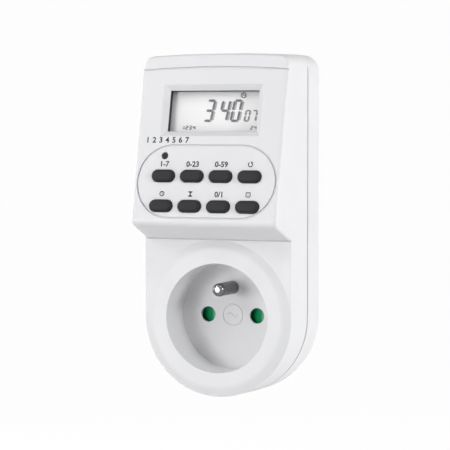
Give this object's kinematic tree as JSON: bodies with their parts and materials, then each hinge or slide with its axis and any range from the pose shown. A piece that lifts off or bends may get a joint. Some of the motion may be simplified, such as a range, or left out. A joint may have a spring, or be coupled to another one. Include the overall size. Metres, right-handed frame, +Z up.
{
  "type": "digital plug-in timer",
  "caption": "White plug-in timer: slanted head with display and oval keys over a round shuttered socket with an earth pin, and a plug boss on its back.",
  "frame": {"origin": "centre of the plug's end face, midway between its two pins", "axes": "+Z up along the height; the front faces -Y and the plug pins point along +Y; X across the width"},
  "size_m": [0.057, 0.0783, 0.1227],
  "materials": {
    "housing_white": "satin white moulded plastic",
    "screw_steel": "zinc plated",
    "key_grey": "dark grey satin",
    "silicone": "translucent grey silicone",
    "clear_window": "clear polished",
    "black_foam": "matt black foam",
    "lcd": "reflective display",
    "inner_plastic": "plain moulded",
    "zebra_rubber": "striped elastomer",
    "board_green": "solder mask",
    "battery_wrap": "shrink wrap",
    "black_epoxy": "moulded epoxy",
    "nickel": "nickel plated",
    "brass": "stamped",
    "capacitor_yellow": "moulded box",
    "can_sleeve": "shrink sleeve",
    "varistor_blue": "dipped lacquer",
    "resistor_body": "ceramic lacquer",
    "relay_black": "moulded case",
    "soft_iron": "bright plated",
    "coil_wire": "enamelled winding",
    "spring_steel": "drawn wire",
    "shutter_green": "dark green",
    "lead_brown": "insulation",
    "lead_blue": "insulation"
  },
  "bodies": {
    "timer": {"backup_battery": "battery_wrap", "board_link": "brass", "clock_crystal": "nickel", "control_board": "board_green", "control_board_screws": "screw_steel", "earth_clip_bottom": "nickel", "earth_clip_top": "nickel", "earth_pin": "nickel", "earth_strap": "brass", "electrolytic_capacitors": "can_sleeve", "film_capacitor": "capacitor_yellow", "front_housing": "housing_white", "fuse_resistor": "resistor_body", "housing_screws": "screw_steel", "keypad_mat": "silicone", "lcd_gasket": "black_foam", "lcd_glass": "lcd", "lcd_holder": "inner_plastic", "lcd_window": "clear_window", "live_contact": "brass", "live_lead": "lead_brown", "live_plug_pin": "nickel", "load_lead": "lead_brown", "neutral_contact": "brass", "neutral_lead": "lead_blue", "neutral_link": "brass", "neutral_plug_pin": "nickel", "power_board": "board_green", "power_board_screws": "screw_steel", "rear_earth_sleeve": "brass", "rear_housing": "housing_white", "rectifier_diodes": "black_epoxy", "relay_base": "relay_black", "relay_coil": "coil_wire", "relay_cover": "relay_black", "relay_fixed_contact": "brass", "relay_yoke": "soft_iron", "shutter_spring": "spring_steel", "socket_carrier": "inner_plastic", "timer_chip": "black_epoxy", "varistor": "varistor_blue", "zebra_strips": "zebra_rubber"},
    "key_week": {"key_week": "key_grey"},
    "key_hour": {"key_hour": "key_grey"},
    "key_minute": {"key_minute": "key_grey"},
    "key_recall": {"key_recall": "key_grey"},
    "key_clock": {"key_clock": "key_grey"},
    "key_timer": {"key_timer": "key_grey"},
    "key_mode": {"key_mode": "key_grey"},
    "key_random": {"key_random": "key_grey"},
    "reset_button": {"reset_button": "key_grey"},
    "shutter": {"shutter": "shutter_green"},
    "relay_armature": {"relay_armature": "soft_iron", "relay_moving_contact": "brass"}
  },
  "joints": [
    {"name": "key_week_press", "type": "slide", "parent": "timer", "child": "key_week", "axis": [0, 0.9787, -0.2053], "range_m": [0, 0.0008], "stiffness_N_per_m": 900, "springref_m": -0.0008, "deforming": ["keypad_mat"]},
    {"name": "key_hour_press", "type": "slide", "parent": "timer", "child": "key_hour", "axis": [0, 0.9787, -0.2053], "range_m": [0, 0.0008], "stiffness_N_per_m": 900, "springref_m": -0.0008, "deforming": ["keypad_mat"]},
    {"name": "key_minute_press", "type": "slide", "parent": "timer", "child": "key_minute", "axis": [0, 0.9787, -0.2053], "range_m": [0, 0.0008], "stiffness_N_per_m": 900, "springref_m": -0.0008, "deforming": ["keypad_mat"]},
    {"name": "key_recall_press", "type": "slide", "parent": "timer", "child": "key_recall", "axis": [0, 0.9787, -0.2053], "range_m": [0, 0.0008], "stiffness_N_per_m": 900, "springref_m": -0.0008, "deforming": ["keypad_mat"]},
    {"name": "key_clock_press", "type": "slide", "parent": "timer", "child": "key_clock", "axis": [0, 0.9787, -0.2053], "range_m": [0, 0.0008], "stiffness_N_per_m": 900, "springref_m": -0.0008, "deforming": ["keypad_mat"]},
    {"name": "key_timer_press", "type": "slide", "parent": "timer", "child": "key_timer", "axis": [0, 0.9787, -0.2053], "range_m": [0, 0.0008], "stiffness_N_per_m": 900, "springref_m": -0.0008, "deforming": ["keypad_mat"]},
    {"name": "key_mode_press", "type": "slide", "parent": "timer", "child": "key_mode", "axis": [0, 0.9787, -0.2053], "range_m": [0, 0.0008], "stiffness_N_per_m": 900, "springref_m": -0.0008, "deforming": ["keypad_mat"]},
    {"name": "key_random_press", "type": "slide", "parent": "timer", "child": "key_random", "axis": [0, 0.9787, -0.2053], "range_m": [0, 0.0008], "stiffness_N_per_m": 900, "springref_m": -0.0008, "deforming": ["keypad_mat"]},
    {"name": "reset_press", "type": "slide", "parent": "timer", "child": "reset_button", "axis": [0, 0.9787, -0.2053], "range_m": [0, 0.0007], "stiffness_N_per_m": 900, "springref_m": -0.0006, "deforming": ["keypad_mat"]},
    {"name": "shutter_slide", "type": "slide", "parent": "timer", "child": "shutter", "axis": [1, 0, 0], "range_m": [0, 0.0056], "stiffness_N_per_m": 80, "springref_m": -0.003, "deforming": ["shutter_spring"]},
    {"name": "armature_pull", "type": "hinge", "parent": "timer", "child": "relay_armature", "pos_m": [-0.0172, -0.0367, 0.046], "axis": [0, 0, 1], "range_deg": [0, 3], "stiffness_Nm_per_rad": 0.03, "springref_deg": -2.86}
  ]
}
